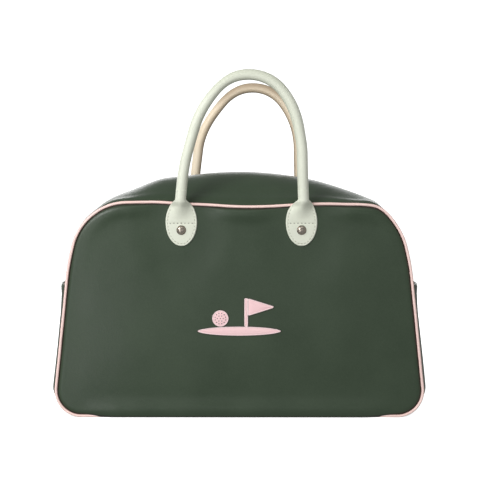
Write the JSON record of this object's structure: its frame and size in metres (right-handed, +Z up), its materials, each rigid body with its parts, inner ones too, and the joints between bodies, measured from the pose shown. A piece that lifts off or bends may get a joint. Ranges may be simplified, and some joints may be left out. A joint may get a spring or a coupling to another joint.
{
  "type": "golf shoe bag",
  "caption": "bowling-style shoe bag with dome-shaped panels, piped seams, crowned zip top, two rolled carrying handles with riveted tabs and a flat base",
  "frame": {"origin": "middle of the footprint, on the surface the bag stands on", "axes": "+X right as the front is seen, +Y towards the rear, +Z up"},
  "size_m": [0.4324, 0.2102, 0.4065],
  "materials": {
    "leather_green": "fine-grain satin faux leather",
    "leather_mint": "smooth pale sage leather",
    "leather_cream": "smooth cream leather",
    "leather_pink": "smooth pale pink leather",
    "lining_cloth": "plain woven cloth",
    "zip_tape_cloth": "woven zip tape",
    "rope": "twisted cotton rope",
    "filler": "extruded filler cord",
    "board": "stiff grey-brown board",
    "zip_metal": "nickel-plated zip metal",
    "rivet_metal": "nickel-plated, lightly aged"
  },
  "bodies": {
    "bag": {"front_panel": "leather_green", "rear_panel": "leather_green", "front_piping_cover": "leather_pink", "rear_piping_cover": "leather_pink", "front_piping_cord": "filler", "rear_piping_cord": "filler", "bottom_gusset": "leather_green", "bottom_lining": "lining_cloth", "zip_gusset_front": "leather_green", "zip_gusset_rear": "leather_green", "top_lining_front": "lining_cloth", "top_lining_rear": "lining_cloth", "front_lining": "lining_cloth", "rear_lining": "lining_cloth", "front_seam_binding": "lining_cloth", "rear_seam_binding": "lining_cloth", "handle_backing_front": "board", "handle_backing_rear": "board", "base_board": "board", "zip_hem_front": "leather_green", "zip_hem_rear": "leather_green", "zip_teeth_front": "zip_metal", "zip_teeth_rear": "zip_metal", "zip_tape_front": "zip_tape_cloth", "zip_tape_rear": "zip_tape_cloth", "zip_stop_left": "zip_metal", "zip_stop_right": "zip_metal", "zip_end_cover_left": "leather_green", "zip_end_cover_right": "leather_green", "handle_tab_front_left": "leather_mint", "handle_tab_front_right": "leather_mint", "handle_tab_rear_left": "leather_mint", "handle_tab_rear_right": "leather_mint", "rivet_front_left": "rivet_metal", "rivet_front_right": "rivet_metal", "rivet_rear_left": "rivet_metal", "rivet_rear_right": "rivet_metal", "rivet_burrs_front": "rivet_metal", "rivet_burrs_rear": "rivet_metal", "emblem_ground": "leather_pink", "emblem_pole": "leather_pink", "emblem_flag": "leather_pink", "emblem_ball": "leather_pink"},
    "front_handle": {"front_handle_core": "rope", "front_handle_outer_wrap": "leather_mint", "front_handle_inner_wrap": "leather_cream"},
    "rear_handle": {"rear_handle_core": "rope", "rear_handle_outer_wrap": "leather_mint", "rear_handle_inner_wrap": "leather_cream"},
    "zip_slider": {"zip_slider_body": "zip_metal", "zip_slider_bridge": "zip_metal"},
    "zip_pull": {"zip_pull_link": "zip_metal", "zip_pull_tab": "leather_mint"}
  },
  "joints": [
    {"name": "front_handle_fold", "type": "hinge", "parent": "bag", "child": "front_handle", "pos_m": [0.0025, -0.09895, 0.253], "axis": [1, 0, 0], "range_deg": [-36, 120]},
    {"name": "rear_handle_fold", "type": "hinge", "parent": "bag", "child": "rear_handle", "pos_m": [0.0085, 0.09895, 0.253], "axis": [-1, 0, 0], "range_deg": [-36, 120]},
    {"name": "zip_travel", "type": "hinge", "parent": "bag", "child": "zip_slider", "pos_m": [0, 0, -0.072], "axis": [0, 1, 0], "range_deg": [-48, 0]},
    {"name": "zip_pull_swing", "type": "hinge", "parent": "zip_slider", "child": "zip_pull", "pos_m": [0.15707, 0, 0.25004], "axis": [0, 1, 0], "range_deg": [0, 150]}
  ]
}
